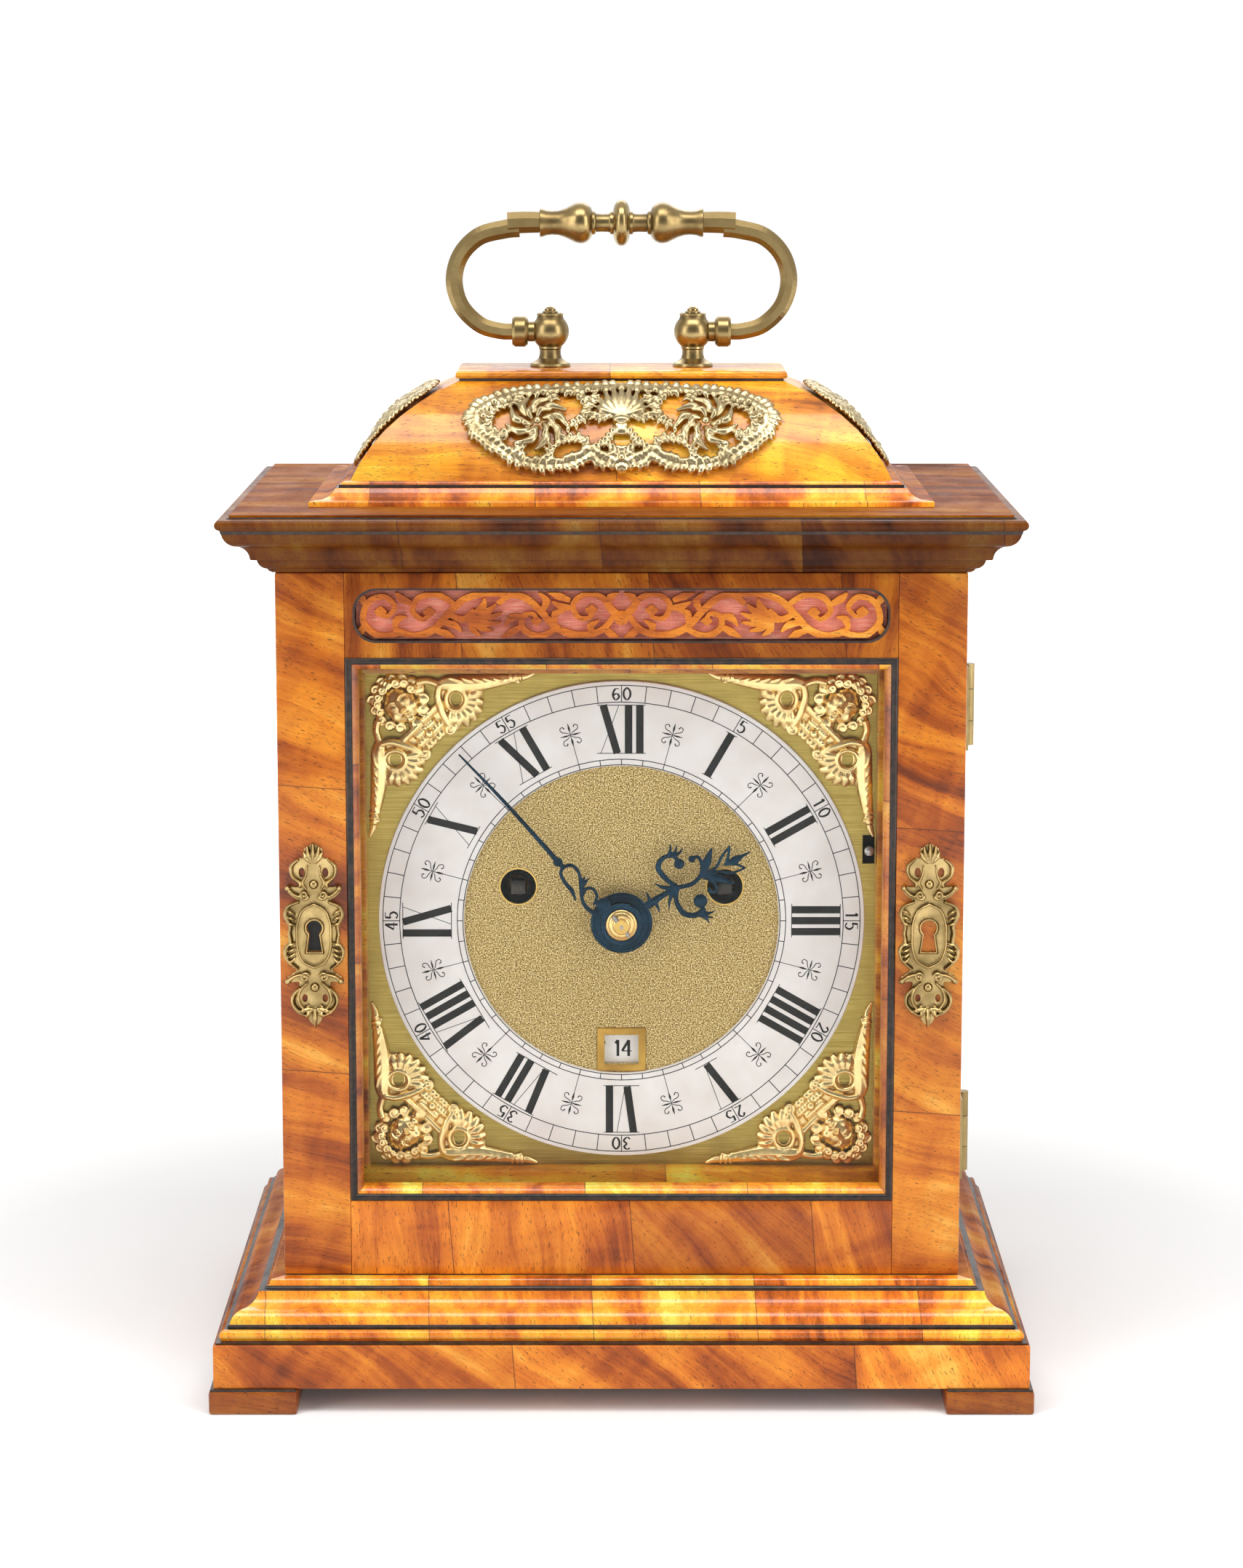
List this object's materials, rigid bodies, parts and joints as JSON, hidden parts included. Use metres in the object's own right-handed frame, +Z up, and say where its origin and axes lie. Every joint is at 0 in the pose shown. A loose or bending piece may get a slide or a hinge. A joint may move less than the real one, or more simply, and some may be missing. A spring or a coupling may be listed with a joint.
{
  "type": "table clock",
  "caption": "Walnut table clock with a domed top, bail handle, glazed doors, square brass dial with a chapter ring, and a spring-driven striking movement.",
  "frame": {"origin": "middle of the footprint, on the plane the feet stand on", "axes": "+X to the right facing the dial, +Y from the dial to the back door, +Z up"},
  "size_m": [0.2612, 0.1738, 0.379],
  "materials": {
    "walnut": "waxed figured veneer with ebonised lines",
    "oak": "plain",
    "brass": "aged",
    "gilt_brass": "lacquered, matted centre",
    "silvered_brass": "silvered, black-filled engraving",
    "steel": "satin",
    "blued_steel": "blued",
    "glass": "clear",
    "silk": "plain weave",
    "bell_metal": "turned",
    "gut": "twisted"
  },
  "bodies": {
    "case": {"block_feet": "walnut", "plinth_frame": "walnut", "base_moulding": "walnut", "base_board": "oak", "case_sides": "walnut", "side_glasses": "glass", "seat_board": "oak", "dial_mask": "walnut", "cornice_moulding": "walnut", "top_board": "walnut", "dome_step_moulding": "walnut", "dome_shell": "walnut", "dome_cap": "walnut", "dome_mounts_long": "brass", "dome_mounts_short": "brass", "handle_posts": "brass", "hinge_case_leaves": "brass", "dial_plate": "gilt_brass", "chapter_ring": "silvered_brass", "corner_mounts": "gilt_brass", "front_plate": "brass", "back_plate": "brass", "plate_pillars": "brass", "back_cock": "brass", "crown_potence": "brass", "bell_stand": "steel", "bell": "bell_metal", "gut_lines": "gut"},
    "handle": {"handle_bail": "brass"},
    "front_door": {"door_stiles": "walnut", "door_top_rail": "walnut", "door_bottom_rail": "walnut", "door_bead": "walnut", "door_glass": "glass", "door_fret": "walnut", "fret_silk": "silk", "escutcheons": "brass", "front_hinge_leaves": "brass", "door_lock": "brass"},
    "door_bolt": {"lock_bolt": "steel"},
    "back_door": {"back_door_frame": "walnut", "back_door_glass": "glass", "back_hinge_leaves": "brass"},
    "minute_work": {"minute_hand": "blued_steel", "hand_collet": "brass", "centre_arbor": "brass"},
    "hour_work": {"hour_hand": "blued_steel", "hour_wheel": "brass"},
    "motion_wheel": {"minute_wheel": "brass"},
    "going_fusee": {"going_fusee": "brass"},
    "going_barrel": {"going_barrel": "brass"},
    "contrate": {"contrate_wheel": "brass"},
    "crown": {"crown_wheel": "brass"},
    "pendulum": {"verge_pendulum": "steel"},
    "strike_fusee": {"strike_fusee": "brass"},
    "strike_barrel": {"strike_barrel": "brass"},
    "pin_wheel": {"pin_wheel": "brass"},
    "hammer": {"bell_hammer": "steel"},
    "date": {"date_ring": "silvered_brass"},
    "strike_lever": {"strike_silent_lever": "steel"}
  },
  "joints": [
    {"name": "handle_swing", "type": "hinge", "parent": "case", "child": "handle", "pos_m": [0, 0, 0.3364], "axis": [1, 0, 0], "range_deg": [-100, 100]},
    {"name": "front_door_swing", "type": "hinge", "parent": "case", "child": "front_door", "pos_m": [0.1099, -0.05015, 0.1502], "axis": [0, 0, 1], "range_deg": [0, 110]},
    {"name": "door_bolt_throw", "type": "slide", "parent": "front_door", "child": "door_bolt", "axis": [-1, 0, 0], "range_m": [0, 0.004]},
    {"name": "back_door_swing", "type": "hinge", "parent": "case", "child": "back_door", "pos_m": [-0.1099, 0.05015, 0.1502], "axis": [0, 0, 1], "range_deg": [0, 110]},
    {"name": "minute_turn", "type": "hinge", "parent": "case", "child": "minute_work", "pos_m": [0, 0, 0.1502], "axis": [0, 1, 0], "continuous": true},
    {"name": "hour_turn", "type": "hinge", "parent": "case", "child": "hour_work", "pos_m": [0, 0, 0.1502], "axis": [0, 1, 0], "continuous": true},
    {"name": "motion_wheel_turn", "type": "hinge", "parent": "case", "child": "motion_wheel", "pos_m": [0, 0, 0.1262], "axis": [0, 1, 0], "continuous": true},
    {"name": "going_fusee_turn", "type": "hinge", "parent": "case", "child": "going_fusee", "pos_m": [0.0332, 0, 0.1611], "axis": [0, 1, 0], "continuous": true},
    {"name": "going_barrel_turn", "type": "hinge", "parent": "case", "child": "going_barrel", "pos_m": [0.036, 0, 0.11], "axis": [0, 1, 0], "continuous": true},
    {"name": "contrate_turn", "type": "hinge", "parent": "case", "child": "contrate", "pos_m": [0, 0, 0.1775], "axis": [0, 1, 0], "continuous": true},
    {"name": "crown_turn", "type": "hinge", "parent": "case", "child": "crown", "pos_m": [0, -0.0042, 0.19], "axis": [0, 0, 1], "continuous": true},
    {"name": "pendulum_swing", "type": "hinge", "parent": "case", "child": "pendulum", "pos_m": [0, 0, 0.208], "axis": [0, 1, 0], "range_deg": [-12, 12]},
    {"name": "strike_fusee_turn", "type": "hinge", "parent": "case", "child": "strike_fusee", "pos_m": [-0.0332, 0, 0.1611], "axis": [0, 1, 0], "continuous": true},
    {"name": "strike_barrel_turn", "type": "hinge", "parent": "case", "child": "strike_barrel", "pos_m": [-0.036, 0, 0.11], "axis": [0, 1, 0], "continuous": true},
    {"name": "pin_wheel_turn", "type": "hinge", "parent": "case", "child": "pin_wheel", "pos_m": [-0.018, 0, 0.1926], "axis": [0, 1, 0], "continuous": true},
    {"name": "hammer_lift", "type": "hinge", "parent": "case", "child": "hammer", "pos_m": [-0.042, 0, 0.2032], "axis": [0, 1, 0], "range_deg": [-20, 0]},
    {"name": "date_turn", "type": "hinge", "parent": "case", "child": "date", "pos_m": [0, 0, 0.1502], "axis": [0, 1, 0], "continuous": true},
    {"name": "strike_lever_slide", "type": "slide", "parent": "case", "child": "strike_lever", "axis": [0, 0, 1], "range_m": [-0.0032, 0.0032]}
  ],
  "couplings": [
    {"joint": "hour_turn", "follows": "minute_turn", "ratio": 0.083333},
    {"joint": "motion_wheel_turn", "follows": "minute_turn", "ratio": -1},
    {"joint": "going_fusee_turn", "follows": "minute_turn", "ratio": -0.083333},
    {"joint": "going_barrel_turn", "follows": "minute_turn", "ratio": -0.055556},
    {"joint": "contrate_turn", "follows": "minute_turn", "ratio": -12},
    {"joint": "strike_barrel_turn", "follows": "strike_fusee_turn", "ratio": 0.66667},
    {"joint": "pin_wheel_turn", "follows": "strike_fusee_turn", "ratio": -12}
  ]
}
